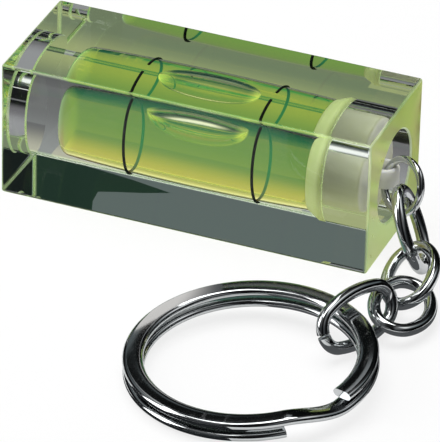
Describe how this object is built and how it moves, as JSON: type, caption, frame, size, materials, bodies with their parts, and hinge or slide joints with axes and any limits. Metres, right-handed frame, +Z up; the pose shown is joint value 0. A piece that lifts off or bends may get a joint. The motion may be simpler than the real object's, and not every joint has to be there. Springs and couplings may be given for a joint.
{
  "type": "keychain spirit level",
  "caption": "Small clear block level with a fluid vial, ring marks and a sliding bubble, on a short link chain with a split key ring.",
  "frame": {"origin": "centre of the block's base face", "axes": "+X along the vial towards the plugged end with the chain, +Y to the back, +Z up from the base"},
  "size_m": [0.0497, 0.0495, 0.015],
  "materials": {
    "clear_acrylic": "polished clear acrylic with a faint green tint",
    "level_fluid": "clear yellow-green fluid",
    "air": "air bubble",
    "mark_black": "black",
    "plug_plastic": "translucent off-white plastic",
    "plated_steel": "polished nickel plating"
  },
  "bodies": {
    "level": {"block": "clear_acrylic", "vial_fluid": "level_fluid", "level_ring_left": "mark_black", "level_ring_right": "mark_black", "end_plug": "plug_plastic"},
    "bubble": {"bubble": "air"},
    "jump_ring": {"jump_ring": "plated_steel"},
    "chain_link_1": {"chain_link_1": "plated_steel"},
    "chain_link_2": {"chain_link_2": "plated_steel"},
    "chain_link_3": {"chain_link_3": "plated_steel"},
    "connecting_link": {"connecting_link": "plated_steel"},
    "split_ring": {"split_ring": "plated_steel"}
  },
  "joints": [
    {"name": "bubble_travel", "type": "slide", "parent": "level", "child": "bubble", "axis": [1, 0, 0], "range_m": [-0.00815, 0.00625]},
    {"name": "jump_ring_swing", "type": "hinge", "parent": "level", "child": "jump_ring", "pos_m": [0.019, 0, 0.0075], "axis": [0, 0, 1], "range_deg": [-4, 72]},
    {"name": "chain_link_1_swing", "type": "hinge", "parent": "jump_ring", "child": "chain_link_1", "pos_m": [0.02235, -0.0029, 0.0054], "axis": [-0.7886, 0.2838, -0.5455], "range_deg": [-46, 24]},
    {"name": "chain_link_2_swing", "type": "hinge", "parent": "chain_link_1", "child": "chain_link_2", "pos_m": [0.02474, -0.00746, 0.00351], "axis": [0.3968, 0.106, -0.9118], "range_deg": [-85, 10]},
    {"name": "chain_link_3_swing", "type": "hinge", "parent": "chain_link_2", "child": "chain_link_3", "pos_m": [0.02415, -0.01222, 0.00121], "axis": [0.603, -0.7968, 0.0386], "range_deg": [-22, 7]},
    {"name": "connecting_link_swing", "type": "hinge", "parent": "chain_link_3", "child": "connecting_link", "pos_m": [0.02375, -0.01489, 0.00274], "axis": [0.0767, -0.9963, -0.0394], "range_deg": [-85, 0]},
    {"name": "split_ring_swing", "type": "hinge", "parent": "connecting_link", "child": "split_ring", "pos_m": [0.02387, -0.02105, 0.00281], "axis": [-0.7431, 0.6691, 0], "range_deg": [-50, 50]}
  ]
}
